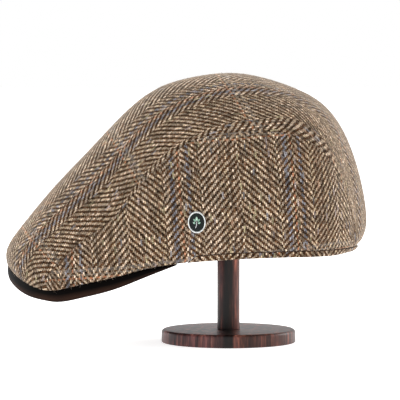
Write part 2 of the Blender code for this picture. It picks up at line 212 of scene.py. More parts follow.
def crown(t, v):
    """Points of the crown's outer face on the left: v is 0 at the edge, 1 at the seam, 2 at the top."""
    t, v = np.broadcast_arrays(np.asarray(t, float), np.asarray(v, float))
    cut = section(t)
    low = np.stack((cut["rim_x"], cut["rim_z"] + hem_lift(cut["rim_x"])), axis=-1)
    high = np.stack((cut["top_x"], cut["top_z"] + hem_lift(cut["top_x"]) * ease(t - LAST + 1)), axis=-1)
    rise = np.linalg.norm(high - low, axis=-1)
    up = (high - low) / rise[..., None]
    zero = np.zeros_like(rise)
    edge = np.stack((cut["rim_half"], zero), axis=-1)
    seam = np.stack((cut["seam_half"], cut["seam_at"] * rise), axis=-1)
    top = np.stack((zero, rise), axis=-1)
    lean = way(cut["lean"])
    side = hermite(edge, seam, way(zero + 90 + RIM_FLARE), lean, cut["bulge"], np.clip(v, 0, 1))
    over = hermite(seam, top, lean, way(zero), cut["bulge"] * TOP_BULGE, np.clip(v - 1, 0, 1))
    arch = np.where((v <= 1)[..., None], side, over)
    height = arch[..., 1]
    share = height / rise
    sag = cut["bow"] * rise * 4 * share * (1 - share)
    xz = low + up * height[..., None] + sag[..., None] * np.stack((-up[..., 1], up[..., 0]), axis=-1)
    return np.stack((xz[..., 0], -arch[..., 0], xz[..., 1]), axis=-1)


def run_along(points, axis=0):
    """Length along a line of points or each line of a grid of them, from its start to each point."""
    steps = np.linalg.norm(np.diff(points, axis=axis), axis=-1)
    return np.concatenate((np.zeros_like(steps.take([0], axis)), np.cumsum(steps, axis=axis)), axis=axis)


def arch_length(t, start, end, steps=12):
    """Length of the crown's sections t from v at start to v at end."""
    return run_along(crown(t[:, None], np.linspace(start, end, steps + 1)), 1)[:, -1]


# Cloth coordinates: across and along the columns of the weave, in metres

SIDE_DATUM = 0.35  # share of the side's height from which heights on the cloth are counted
SIDE_REVERSAL = 9.9 * MM  # x of the reversal between two wide columns at CLOTH_LEVEL
CLOTH_LEVEL = 100 * MM  # height at which the columns' places are given
CLOTH_TURN = math.tan(math.radians(4.6))  # the side's cloth is cut this much off upright
# The centre panel's columns draw together towards the back: x, and the shift outwards that stands for it
TOP_SHIFT = ((-148, 4), (-130, -2), (-90, -9), (-60, -7), (-27, -3), (-7, 2), (5, 5), (21, 9),
             (35, 15), (49, 21), (90, 24))
TOP_SHIFT_FULL = 50 * MM  # from the centreline, where the whole shift applies
TOP_SQUARE = 3.9  # the section at which its weft threads lie square to the centreline
TOP_CHECK_SHIFT = 3  # weft threads by which the centre panel's check rows lie further forwards


def side_cloth(points, v):
    """Cloth coordinates on the left side panel of points whose heights up the crown's sections are v."""
    line_t = np.linspace(0, LAST, 500)
    datum = crown(line_t, SIDE_DATUM)
    plan = run_along(datum[:, :2])
    x = points[..., 0] + CLOTH_TURN * (points[..., 2] - CLOTH_LEVEL)
    across = np.interp(x, datum[:, 0], plan) - np.interp(SIDE_REVERSAL, datum[:, 0], plan)
    # Upright slices through the panel: y and z at levels of x, and the length up each slice
    fan_v = np.linspace(0, 1, 41)
    fan = crown(line_t[:, None], fan_v)
    level_x = np.linspace(fan[0, 0, 0], fan[-1, 0, 0], 300)
    slices = np.array([[np.interp(level_x, fan[:, k, 0], fan[:, k, axis]) for axis in (1, 2)]
                       for k in range(len(fan_v))]).transpose(2, 0, 1)
    rise = run_along(slices, 1)
    at_datum = np.array([np.interp(SIDE_DATUM, fan_v, row) for row in rise])
    height = np.array([np.interp(SIDE_DATUM, fan_v, row) for row in slices[..., 1]])
    along_fan = rise + (height - at_datum)[:, None]
    column = np.interp(points[..., 0], level_x, np.arange(len(level_x)))
    i = np.minimum(column.astype(int), len(level_x) - 2)
    f = column - i
    k = np.clip(np.broadcast_to(v, f.shape), 0, 1) * (len(fan_v) - 1)
    j = np.minimum(k.astype(int), len(fan_v) - 2)
    g = k - j
    along = ((1 - f) * ((1 - g) * along_fan[i, j] + g * along_fan[i, j + 1])
             + f * ((1 - g) * along_fan[i + 1, j] + g * along_fan[i + 1, j + 1]))
    return across + WIDE * WARP, along - CLOTH_TURN * across


def centre_cloth(t, v):
    """Cloth coordinates on the centre panel: across from the centreline, along from one section."""
    table_t, table_v = np.linspace(0, LAST, 281), np.linspace(1, 2, 81)
    points = crown(table_t[:, None], table_v)
    from_seam = run_along(points, 1)
    lateral = from_seam[:, -1:] - from_seam
    shift_x, shift = np.array(TOP_SHIFT).T * MM
    table_across = lateral + np.interp(points[..., 0], shift_x, shift) * ease(lateral / TOP_SHIFT_FULL)
    lines = np.linspace(0, table_across.max(), 60)
    line_v = np.array([np.interp(lines, a[::-1], table_v[::-1]) for a in table_across])
    run = run_along(crown(table_t[:, None], line_v))
    middle = np.argmin(abs(table_t - TOP_SQUARE))
    table_along = run - run[middle]
    table_along[:middle] = table_along[:middle, :1]

    row = t[:, :1] / LAST * (len(table_t) - 1)
    i = np.minimum(row.astype(int), len(table_t) - 2)[:, 0]
    f = row - i[:, None]
    across_rows = (1 - f) * table_across[i] + f * table_across[i + 1]
    along_rows = (1 - f) * table_along[i] + f * table_along[i + 1]
    across = np.array([np.interp(*both) for both in zip(v, [table_v] * len(v), across_rows)])
    along = np.array([np.interp(*both) for both in zip(across, [lines] * len(v), along_rows)])
    return across, along


def zigzag(threads):
    """How far the twill has stepped at a place across the columns, and whether it is stepping back."""
    place = np.mod(threads, PERIOD)
    wide = WIDE - abs(place - WIDE)
    narrow = NARROW - abs(place - (2 * WIDE + NARROW))
    back = ((place > WIDE) & (place < 2 * WIDE)) | (place > 2 * WIDE + NARROW)
    return np.maximum(wide, narrow), back


def wale(across, along):
    """The diagonal ridges: 1 on top of a light one, -1 in the dark between."""
    step, back = zigzag(across / WARP)
    phase = (along / WEFT - step + 2 * back) / REPEAT
    return np.cos(2 * math.pi * (phase - 0.25))


# Meshes. On the OFBake layer the sides or the outer face lie low and the ends or the inner face high.

def new_mesh(name, points, polygons, material, bake, cloth=None):
    """A smooth mesh piece. polygons, bake and cloth are lists of equal arrays: corners, and their places."""
    mesh = bpy.data.meshes.new(name)
    sizes = np.concatenate([np.full(len(block), block.shape[1]) for block in polygons])
    corners = np.concatenate([block.ravel() for block in polygons])
    mesh.vertices.add(len(points))
    mesh.vertices.foreach_set("co", np.asarray(points, np.float32).ravel())
    mesh.loops.add(len(corners))
    mesh.loops.foreach_set("vertex_index", corners.astype(np.int32))
    mesh.polygons.add(len(sizes))
    starts = np.concatenate(([0], np.cumsum(sizes)[:-1]))
    mesh.polygons.foreach_set("loop_start", starts.astype(np.int32))
    mesh.update(calc_edges=True)
    for label, blocks in (("OFBake", bake), ("cloth", cloth)):
        if blocks is not None:
            places = np.concatenate([block.reshape(-1, 2) for block in blocks]).astype(np.float32)
            mesh.uv_layers.new(name=label).data.foreach_set("uv", places.ravel())
    mesh.validate()
    mesh.shade_smooth()
    mesh.materials.append(material)
    piece = bpy.data.objects.new(name, mesh)
    bpy.context.scene.collection.objects.link(piece)
    return piece


def quads(rows, columns):
    """Corners of the faces of a grid of points."""
    index = np.arange(rows * columns).reshape(rows, columns)
    return np.stack((index[:-1, :-1], index[:-1, 1:], index[1:, 1:], index[1:, :-1]), axis=-1).reshape(-1, 4)


def edge_rows(count, length, roll=1.0):
    """Places across a panel with extra ones where its edges roll, and the depth of each."""
    reach = np.array([e for e, depth in EDGE_ROLL]) * MM * roll
    depth = np.array([depth for e, depth in EDGE_ROLL]) * MM
    inner = np.linspace(reach[-1], length - reach[-1], count)[1:-1]
    places = np.concatenate((reach, inner, length - reach[::-1]))
    return places, np.concatenate((depth, np.zeros(len(inner)), depth[::-1]))


def wrapped(rows, columns):
    """Numbers of the points of equal loops, each loop's first point again at its end."""
    index = np.arange(rows * columns).reshape(rows, columns)
    return np.concatenate((index, index[:, :1]), axis=1)


def mesh_grid(first, second):
    """Pairs of the values of two lists, as a grid."""
    return np.stack(np.meshgrid(first, second, indexing="ij"), axis=-1)


def inner_lines(count):
    """Which of a grid's lines the coarser inner face uses."""
    first = len(EDGE_ROLL)
    return np.array([0] + list(range(first, count - first, INNER_STEP)) + [count - 1])


def wall(name, outer, normals, depth, cloth, material, flip=False):
    """A cloth wall: a fine outer face with rolled edges, closed by a coarser inner face."""
    rows, columns = outer.shape[:2]
    face = outer - normals * depth[..., None]
    face_index = np.arange(rows * columns).reshape(rows, columns)
    pick_r, pick_c = inner_lines(rows), inner_lines(columns)
    picked = np.ix_(pick_r[1:-1], pick_c[1:-1])
    inner_points = (outer - normals * CLOTH)[picked].reshape(-1, 3)
    back_index = face_index.copy()
    back_index[picked] = np.arange(len(inner_points)).reshape(back_index[picked].shape) + rows * columns
    grid = mesh_grid(np.linspace(0, 1, rows), np.linspace(0, 1, columns))
    polygons, bake, places = [], [], []

    def take(corners, atlas, where):
        if flip:
            corners, where = corners[:, ::-1], where[:, ::-1]
        polygons.append(corners)
        bake.append(atlas.reshape(-1, 2)[where])
        places.append(cloth.reshape(-1, 2)[where])

    outside = quads(rows, columns)
    take(outside, grid * (0.99, 0.82) + (0.005, 0.005), outside)
    # The inner face's outermost polygons take in all the points of the fine face's edge
    by_size = {}
    for r0, r1 in zip(pick_r, pick_r[1:]):
        for c0, c1 in zip(pick_c, pick_c[1:]):
            ring = [(r0, c) for c in (range(c0, c1) if r0 == 0 else [c0])]
            ring += [(r, c1) for r in (range(r0, r1) if c1 == columns - 1 else [r0])]
            ring += [(r1, c) for c in (range(c1, c0, -1) if r1 == rows - 1 else [c1])]
            ring += [(r, c0) for r in (range(r1, r0, -1) if c0 == 0 else [r1])]
            by_size.setdefault(len(ring), []).append(ring[::-1])
    for size in sorted(by_size):
        r, c = np.array(by_size[size]).transpose(2, 0, 1)
        take(back_index[r, c], grid * (0.99, 0.15) + (0.005, 0.845), face_index[r, c])
    points = np.concatenate((face.reshape(-1, 3), inner_points))
    return new_mesh(name, points, polygons, material, bake, places)


def crown_normals(surface, t, v):
    """Outward unit normals of the crown, from small steps along the grid."""
    across = surface(np.clip(t + NORMAL_STEP, 0, LAST), v) - surface(np.clip(t - NORMAL_STEP, 0, LAST), v)
    out = np.cross(across, surface(t, v + NORMAL_STEP) - surface(t, v - NORMAL_STEP))
    return out / np.linalg.norm(out, axis=-1, keepdims=True)


def even_rows(line, start, end, count):
    """Table positions that lie evenly spread along a line on the crown, and the depth of each."""
    t = np.linspace(start, end, 1200)
    run = run_along(line(t))
    places, depths = edge_rows(count, run[-1])
    return np.interp(places, run, t), depths


def leather_rise(x):
    """How much higher than the crown's edge the cloth ends over the peak, as a share of the whole."""
    return ease((RISE_END - x) / (RISE_END - RISE_FULL))


def build_sides(material, fibre):
    samples = np.linspace(0, LAST, 1401)
    lifted = LEATHER_RISE * leather_rise(crown(samples, 0)[:, 0])
    tall = samples[arch_length(samples, 0, 1) > SIDE_POINT + lifted]
    t_rows, t_depth = even_rows(lambda t: crown(t, 0.5), tall[0], tall[-1], SIDE_MESH[0])
    lengths = arch_length(t_rows, 0, 1)
    rises = LEATHER_RISE * leather_rise(crown(t_rows, 0)[:, 0])
    v = []
    for length, rise in zip(lengths, rises):
        usable = length - SEAM_HALF_GAP - rise
        roll = min(1.0, usable / (6 * EDGE_ROLL[-1][0] * MM))
        places, v_depth = edge_rows(SIDE_MESH[1], usable, roll)
        v.append((rise + places) / length)
    v = np.array(v)
    t = np.broadcast_to(t_rows[:, None], v.shape)
    outer = crown(t, np.clip(v, 0, 1))
    normals = crown_normals(crown, t, np.clip(v, EDGE_SHARE, 1 - EDGE_SHARE))
    depth = np.maximum(t_depth[:, None], v_depth)
    across, along = side_cloth(outer, v)
    cloth = np.stack((across, along), axis=-1)
    outer = outer + normals * (WALE_HEIGHT * wale(across, along) * (depth == 0))[..., None]
    outer_right, normals_right = outer * MIRROR, normals * MIRROR
    left = wall("side_panel_left_cloth", outer, normals, depth, cloth, material)
    right = wall("side_panel_right_cloth", outer_right, normals_right, depth, cloth, material, flip=True)
    finish_piece(left, "tweed", "side_panel_left")
    finish_piece(right, "tweed", "side_panel_right")
    build_fuzz("side_left_fuzz", outer, normals, SIDE_FIBRES, fibre)
    build_fuzz("side_right_fuzz", outer_right, normals_right, SIDE_FIBRES, fibre)


def centre_surface(t, s):
    """s runs from -1 at the left seam over 0 at the top to 1 at the right seam."""
    point = crown(t, 2 - np.abs(s))
    return np.where((s > 0)[..., None], point * MIRROR, point)


def build_centre(material, fibre):
    first = np.linspace(0, 1, 200)
    front = np.interp(LEATHER_RISE, run_along(crown(first, 1.5)), first)
    t_rows, t_depth = even_rows(lambda t: crown(t, 1.85), front, LAST, CENTRE_MESH[0])
    s = []
    for length in 2 * arch_length(t_rows, 1, 2):
        usable = length - 2 * SEAM_HALF_GAP
        places, s_depth = edge_rows(CENTRE_MESH[1], usable)
        s.append((places / usable * 2 - 1) * (1 - 2 * SEAM_HALF_GAP / length))
    s = np.array(s)
    t = np.broadcast_to(t_rows[:, None], s.shape)
    outer = centre_surface(t, s)
    normals = crown_normals(centre_surface, t, np.clip(s, EDGE_SHARE - 1, 1 - EDGE_SHARE))
    depth = np.maximum(t_depth[:, None], s_depth)
    across, along = centre_cloth(t, 2 - np.abs(s))
    across = across * np.where(s > 0, 1, -1) + WIDE * WARP
    along = along + TOP_CHECK_SHIFT * WEFT
    cloth = np.stack((across, along), axis=-1)
    outer = outer + normals * (WALE_HEIGHT * wale(across, along) * (depth == 0))[..., None]
    piece = wall("centre_panel_cloth", outer, normals, depth, cloth, material)
    finish_piece(piece, "tweed", "centre_panel")
    build_fuzz("centre_fuzz", outer, normals, CENTRE_FIBRES, fibre)


def build_fuzz(name, points, normals, count, material):
    """Short loose wool fibres scattered over a grid of points, each a thin three-sided curl."""
    one, other = points[1:, 1:] - points[:-1, :-1], points[1:, :-1] - points[:-1, 1:]
    area = np.linalg.norm(np.cross(one, other), axis=-1)
    i, j = np.unravel_index(rng.choice(area.size, count, p=(area / area.sum()).ravel()), area.shape)
    place = points[i, j] + rng.random((count, 1)) * (points[i + 1, j] - points[i, j])
    place = place + rng.random((count, 1)) * (points[i, j + 1] - points[i, j])
    out = normals[i, j]
    level = np.cross(out, points[i, j + 1] - points[i, j])
    level /= np.linalg.norm(level, axis=-1, keepdims=True)
    turn = rng.uniform(0, 2 * math.pi, (count, 1))
    ahead = level * np.cos(turn) + np.cross(out, level) * np.sin(turn)
    aside = np.cross(out, ahead)
    length = rng.uniform(*FIBRE_LENGTH, (count, 1, 1))
    lift = FIBRE_LIFT * rng.uniform(0.2, 1, (count, 1, 1)) ** 2
    curl = rng.normal(0, FIBRE_CURL, (count, 1, 1))
    share = np.linspace(0, 1, FIBRE_RINGS)[None, :, None]
    line = (place[:, None] + ahead[:, None] * length * share + aside[:, None] * length * curl * share ** 2
            + out[:, None] * (lift * (1 - (1 - share) ** 2) - FIBRE_ROOT))
    around = np.radians((90, 210, 330))
    ring = aside[:, None, None] * np.cos(around)[:, None] + out[:, None, None] * np.sin(around)[:, None]
    loops = line[:, :, None] + ring * FIBRE_RADIUS * (1 - FIBRE_TAPER * share[..., None])
    index = np.arange(count * FIBRE_RINGS * 3).reshape(count, FIBRE_RINGS, 3)
    after = np.roll(index, -1, axis=2)
    sides = np.stack((index[:, :-1], index[:, 1:], after[:, 1:], after[:, :-1]), axis=-1).reshape(-1, 4)
    ends = np.concatenate((index[:, 0], index[:, -1][:, ::-1]))
    across = math.ceil(math.sqrt(count))
    number = np.arange(count)
    corner = np.stack((number % across, number // across), axis=-1)
    spread = mesh_grid(np.linspace(0.1, 0.9, FIBRE_RINGS), np.linspace(0.1, 0.9, 3))
    atlas = ((corner[:, None, None] + spread) / across).reshape(-1, 2)
    piece = new_mesh(name, loops.reshape(-1, 3), [sides, ends], material, [atlas[sides], atlas[ends]])
    turn_outwards(piece)
    finish_piece(piece, "tweed")


def finish_piece(piece, slot, *nodes):
    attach(piece, "root")
    if nodes:
        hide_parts(*nodes)


# Pieces swept along the lower edge

def both_sides(left_half):
    """A path from the left over the middle to the right, from its left half."""
    return np.concatenate((left_half, left_half[-2::-1] * MIRROR))


def outward(path):
    """Level unit vectors that point away from the cap along a path that runs from left to right."""
    ways = np.gradient(path, axis=0)
    normals = np.stack((ways[:, 1], -ways[:, 0], np.zeros(len(path))), axis=1)
    normals /= np.linalg.norm(normals, axis=1)[:, None]
    middle = path[len(path) // 2] - path[0]
    return normals if normals[len(path) // 2] @ middle > 0 else -normals


def even_path(path, spacing):
    run = run_along(path)
    spots = np.linspace(0, run[-1], int(run[-1] / spacing) + 1)
    return np.stack([np.interp(spots, run, path[:, k]) for k in range(3)], axis=-1), spots


def tube(name, loops, run, around, material):
    """A closed solid through equal loops of points, with flat ends."""
    rows, columns = loops.shape[:2]
    index = wrapped(rows, columns)
    place = mesh_grid(run, around)
    grid = quads(rows, columns + 1)
    bake = place / (run[-1], around[-1]) * (0.98, 0.85) + 0.005
    corners = index.ravel()[grid]
    ends = [index[0, :-1][::-1][None, :], index[-1, :-1][None, :]]
    end_bake = []
    for k, corner in ((0, (0.1, 0.93)), (-1, (0.3, 0.93))):
        spread = loops[k] - loops[k].mean(axis=0)
        level = np.hypot(spread[:, 0], spread[:, 1]) * np.sign(spread[:, 0])
        flat = np.stack((level, spread[:, 2]), axis=-1)
        flat = flat / np.abs(flat).max() * 0.03 + corner
        end_bake.append((flat[::-1] if k == 0 else flat)[None])
    cloth = [place.reshape(-1, 2)[grid]] + [np.zeros_like(b) for b in end_bake]
    piece = new_mesh(name, loops.reshape(-1, 3), [corners] + ends, material,
                     [bake.reshape(-1, 2)[grid]] + end_bake, cloth)
    turn_outwards(piece)
    return piece


def turn_outwards(piece):
    """Flip a closed piece's faces if they point inwards."""
    shape = bmesh.new()
    shape.from_mesh(piece.data)
    if shape.calc_volume(signed=True) < 0:
        bmesh.ops.reverse_faces(shape, faces=shape.faces)
        shape.to_mesh(piece.data)
    shape.free()


HEM_SPACING = 0.9 * MM
HEM_CORNER = (0.175, 0.14)  # the round of its upper edge, as shares of its thickness and height
STITCH = 2.6 * MM
THREAD_RADIUS = 0.42 * MM
THREAD_BEAD = 0.25  # how much thicker a stitch is in its middle
THREAD_DEPTH = 0.62 * MM


def hem_profile():
    """The hem's section from its inner upper corner outwards and down: shares of its thickness and height."""
    turn = np.radians(np.linspace(90, 0, 5))
    upper = [(HEM_CORNER[0] * (math.cos(a) - 1), HEM_CORNER[1] * (math.sin(a) - 1)) for a in turn]
    foot = [(0.55 * (math.cos(a) - 1), -0.62 - 0.38 * math.sin(a)) for a in np.linspace(0.15, math.pi / 2, 7)]
    return np.array([(-1.0, 0.0), (-0.3, 0.0), *upper, (0.03, -0.35), (0.03, -0.6), *foot,
                     (-0.8, -0.96), (-0.95, -0.8), (-1.0, -0.6)])


def build_hem(material, thread):
    start = HEM_REACH + HEM_RUN_IN * 0.2 - POST_FROM_NOSE
    rim = crown(np.linspace(0, LAST, 3000), 0)
    half = rim[rim[:, 0] >= start]
    back = crown(np.full(200, float(LAST)), np.linspace(1, 2, 200))
    path, run = even_path(both_sides(np.concatenate((half[:-1], back))), HEM_SPACING)
    away = outward(path)
    profile = hem_profile()
    out, up = profile.T
    rear = ease((path[:, :1] - HEM_TURN_FROM) / (HEM_TURN_FULL - HEM_TURN_FROM))
    out = out * HEM_THICKNESS + rear * (HEM_TURN_OUT * (1 + up) + HEM_TURN_IN * up)
    height = hem_lift(path[:, :1]) - CLEARANCE - HEM_TURN_UP * rear
    loops = path[:, None] + away[:, None] * out[..., None]
    loops[..., 2] += up * height - CLEARANCE
    outline = np.concatenate((profile, profile[:1])) * (HEM_THICKNESS, HEM_HEIGHT)
    piece = tube("hem_band_cloth", loops, run, run_along(outline), material)
    finish_piece(piece, "tweed", "hem_band")

    turn = np.radians(np.arange(0, 360, 45))
    stitch = 1 + THREAD_BEAD * np.abs(np.sin(run / STITCH * math.pi))
    centre = path - away * THREAD_DEPTH - np.array((0, 0, CLEARANCE / 2))
    ring = away[:, None] * np.cos(turn)[:, None] + np.array((0, 0, 1)) * np.sin(turn)[:, None]
    loops = centre[:, None] + ring * (THREAD_RADIUS * stitch)[:, None, None]
    piece = tube("hem_thread", loops, run, np.linspace(0, 2 * math.pi * THREAD_RADIUS, 9), thread)
    finish_piece(piece, "tweed")


def opening_front(share):
    """Points on the head opening's front edge, share -1 at the peak's left end to 1 at its right."""
    half_length, half_width = OPENING_LENGTH / 2, OPENING_WIDTH / 2
    centre_x = section(np.array([float(LAST)]))["top_x"][0] - HEM_THICKNESS - half_length
    angle = share * math.acos((centre_x - (PEAK_REACH - POST_FROM_NOSE)) / half_length)
    level = RIM_ABOVE_FLOOR - CLEARANCE + PEAK_ARCH * ease(1 - abs(share))
    return np.stack((centre_x - np.cos(angle) * half_length, np.sin(angle) * half_width, level), axis=-1)


PEAK_SPACING = 1.0 * MM
PEAK_SMOOTHING = 60  # rounds of averaging along the peak's edge
PEAK_WAY_SMOOTHING = 12  # and of the ways outwards from it
PLATE_STEPS = 9  # points across each face of the plate


def averaged(line, rounds):
    """A line of points with each but the ends drawn towards its neighbours."""
    for _ in range(rounds):
        line[1:-1] = (line[:-2] + 2 * line[1:-1] + line[2:]) / 4
    return line


def build_peak(material):
    rim = crown(np.linspace(0, LAST / 2, 2400), 0)
    rim = rim[rim[:, 0] <= PEAK_REACH - POST_FROM_NOSE][::-1]
    front = crown(np.zeros(200), np.linspace(1, 2, 200))
    path, run = even_path(both_sides(np.concatenate((rim[:-1], front))), PEAK_SPACING)
    path = averaged(path, PEAK_SMOOTHING)
    away = averaged(outward(path), PEAK_WAY_SMOOTHING)
    away /= np.linalg.norm(away, axis=1)[:, None]
    to_end = np.minimum(run, run[-1] - run)
    fill = 1 - (1 - np.minimum(to_end / PEAK_RIM_TAPER, 1)) ** 3
    height = (PEAK_RIM_END + (PEAK_RIM_HEIGHT - PEAK_RIM_END) * fill)[:, None]
    plate = np.minimum(PEAK_PLATE, 0.8 * height)
    down = np.array((0, 0, -1.0))
    top = path + down * CLEARANCE
    rise = leather_rise(path[:, 0])[:, None]
    columns = []
    for angle in np.linspace(-math.pi / 2, math.pi / 2, 15):
        out = PEAK_RIM_SWELL * (2 * math.cos(angle) - 1)
        share = (1 + math.sin(angle)) / 2
        upper = rise * (1 - share)
        columns.append(top + away * (out + LEATHER_LEAN * upper)
                       + down * (height * share - LEATHER_RISE * upper))
    foot = PEAK_RIM_THICKNESS - PEAK_RIM_SWELL
    for share in (0.35, 0.65, 0.9):
        columns.append(top - away * (PEAK_RIM_SWELL + (foot - PEAK_RIM_SWELL) * share)
                       + down * height * (1.0 + 0.02 * math.sin(share * math.pi)))
    start = top - away * PEAK_RIM_THICKNESS
    inner = opening_front(2 * run / run[-1] - 1)
    columns.append(start + down * (plate + height) / 2)
    for share in np.linspace(0, 1, PLATE_STEPS):
        columns.append(start + (inner - start) * share + down * plate)
    for share in np.linspace(1, 0, PLATE_STEPS):
        columns.append(start + (inner - start) * share)
    columns.append(start - down * (LEATHER_RISE * rise))
    loops = np.stack(columns, axis=1)
    middle = loops[len(loops) // 2]
    piece = tube("peak_leather", loops, run, run_along(np.concatenate((middle, middle[:1]))), material)
    piece.data.set_sharp_from_angle(angle=math.radians(50))
    finish_piece(piece, "leather", "peak")


# Turned pieces

TURN_STEPS = 96


def turned(name, profile, material, seat=None):
    """A solid turned about Z. The profile of radius and height runs from the axis down its outer side."""
    angles = np.linspace(0, 2 * math.pi, TURN_STEPS, endpoint=False)
    ring = np.stack((np.cos(angles), np.sin(angles)), axis=-1)
    top, *sides, bottom = profile
    loops = [[(radius * x, radius * y, height) for x, y in ring] for radius, height in sides]
    points = np.concatenate(([(0, 0, top[1])], *loops, [(0, 0, bottom[1])]))
    index = wrapped(len(sides), TURN_STEPS) + 1
    grid = quads(len(sides), TURN_STEPS + 1)[:, [0, 3, 2, 1]]
    run = run_along(np.array(sides))
    bake = mesh_grid(run / run[-1] * 0.65, np.linspace(0, 0.98, TURN_STEPS + 1))[..., ::-1] + 0.01
    # Fans that close it, the lower one the other way round
    hub = np.zeros(TURN_STEPS, int)
    caps = np.concatenate((np.stack((hub, index[0, :-1], index[0, 1:]), axis=-1),
                           np.stack((hub + len(points) - 1, index[-1, 1:], index[-1, :-1]), axis=-1)))
    rim = ring * 0.145
    fan = np.stack((rim * 0, rim, np.roll(rim, -1, axis=0)), axis=1)
    cap_bake = np.concatenate((fan + (0.2, 0.84), fan[:, [0, 2, 1]] + (0.6, 0.84)))
    if seat is not None:
        points = seat(points)
    bake = bake.reshape(-1, 2)[grid]
    piece = new_mesh(name, points, [index.ravel()[grid], caps], material, [bake, cap_bake])
    turn_outwards(piece)
    piece.data.set_sharp_from_angle(angle=math.radians(40))
    return piece


def badge_seat(points):
    """Move points made about Z, one unit wide and high, onto the left side panel."""
    place = crown(BADGE_SECTION, BADGE_RISE)
    back, front = crown(BADGE_SECTION + BADGE_STEP, BADGE_RISE), crown(BADGE_SECTION - BADGE_STEP, BADGE_RISE)
    high, low = crown(BADGE_SECTION, BADGE_RISE + BADGE_STEP), crown(BADGE_SECTION, BADGE_RISE - BADGE_STEP)
    out = np.cross(back - front, high - low)
    out /= np.linalg.norm(out)
    up = np.array((0, 0, 1)) - out * out[2]
    up /= np.linalg.norm(up)
    across = np.cross(up, out)
    # It sits on the highest point of the cloth under it
    t = np.linspace(BADGE_SECTION - 0.5, BADGE_SECTION + 0.5, 21)[:, None]
    offset = crown(t, np.linspace(BADGE_RISE - 0.15, BADGE_RISE + 0.15, 21)) - place
    under = np.hypot(offset @ across / BADGE_WIDTH, offset @ up / BADGE_HEIGHT) < 0.55
    seat = (offset @ out)[under].max() + CLEARANCE
    return (place + points[:, :1] * across * BADGE_WIDTH + points[:, 1:2] * up * BADGE_HEIGHT
            + (points[:, 2:] + seat) * out)


# The enamel's gentle dome: shares of its radius, and drop in millimetres
ENAMEL_DOME = ((0, 0), (0.5, 0.02), (0.85, 0.1), (1, 0.3))
# The sprig, in shares of the badge's width: each leaf's place, angle and length, and the stem's points
LEAVES = ((0.0, 0.13, 90, 0.20), (-0.085, 0.075, 138, 0.17), (0.085, 0.075, 42, 0.17),
          (-0.105, -0.04, 160, 0.15), (0.105, -0.04, 20, 0.15))
STEM = ((0.0, 0.05), (0.0, -0.05), (-0.02, -0.16), (-0.07, -0.25))
LEAF_HALF = 0.32  # half a leaf's width, as a share of its length
LEAF_TIP = 0.004  # half its width at the ends
LEAF_BEHIND = 0.25  # share of its length that lies behind its place
STEM_HALF = 0.016  # half the stem's width
LEAF_LIFT = 0.22 * MM
LEAF_LEVEL = 0.8 * BADGE_THICKNESS  # the enamel's face, on which the sprig lies
SPRIG_STRETCH = 1.15 * BADGE_WIDTH / BADGE_HEIGHT


def leaf(x, y, degrees, length):
    """Corners of a raised pointed leaf on the enamel, from its stalk to its tip."""
    along = np.linspace(0, 1, 13)
    around = np.radians(np.arange(0, 360, 30))
    half = LEAF_HALF * length * np.sin(np.pi * along ** 0.8)
    half[0] = half[-1] = LEAF_TIP
    angle = math.radians(degrees)
    forward = np.array((math.cos(angle), math.sin(angle)))
    sideways = np.array((-forward[1], forward[0]))
    flat = (np.array((x, y)) + forward * (along[:, None, None] - LEAF_BEHIND) * length
            + sideways * (half[:, None] * np.cos(around))[..., None])
    high = LEAF_LEVEL + LEAF_LIFT * np.sin(around) * (half / half.max())[:, None]
    return np.concatenate((flat * (1, SPRIG_STRETCH), high[..., None]), axis=-1)


def stem():
    """Corners of a thin raised stalk."""
    points = np.array(STEM)
    share = np.linspace(0, len(points) - 1, 16)
    line = np.stack([np.interp(share, np.arange(len(points)), points[:, k]) for k in (0, 1)], axis=-1)
    around = np.radians(np.arange(0, 360, 45))
    flat = line[:, None] + np.stack((np.cos(around), np.zeros(8)), axis=-1) * STEM_HALF
    high = LEAF_LEVEL + LEAF_LIFT * 0.8 * np.sin(around)
    return np.concatenate((flat, np.broadcast_to(high[:, None], flat.shape[:2] + (1,))), axis=-1)


def build_badge(metal, enamel, leaves):
    """An oval metal frame round an enamel plate that carries a plain sprig of leaves."""
    rim = BADGE_RIM / BADGE_WIDTH
    round_rim = [(0.5 - rim / 2 + rim / 2 * math.cos(a), BADGE_THICKNESS * (0.45 + 0.55 * math.sin(a)))
                 for a in np.radians(np.arange(170, -50, -20))]
    profile = [(0, BADGE_BACK), (0.5 - rim, BADGE_BACK)] + round_rim + [(0.5 - rim * 0.35, 0), (0, 0)]
    finish_piece(turned("badge_rim_silver", profile, metal, badge_seat), "badge_metal", "badge_rim")
    edge = 0.5 - rim * 0.9
    profile = [(edge * share, LEAF_LEVEL - drop * MM) for share, drop in ENAMEL_DOME]
    profile += [(edge, BADGE_BACK + CLEARANCE), (0, BADGE_BACK + CLEARANCE)]
    finish_piece(turned("badge_plate", profile, enamel, badge_seat), "enamel", "badge_face")
    sprig = [(f"badge_leaf_{number + 1}", leaf(*shape), leaves) for number, shape in enumerate(LEAVES)]
    for name, loops, material in sprig + [("badge_stem", stem(), metal)]:
        rows, columns = loops.shape[:2]
        seated = badge_seat(loops.reshape(-1, 3)).reshape(loops.shape)
        piece = tube(name, seated, np.linspace(0, 1, rows), np.linspace(0, 1, columns + 1), material)
        finish_piece(piece, "badge_metal")


BASE_CHAMFER = 0.4 * MM  # breaks the base's lower edge


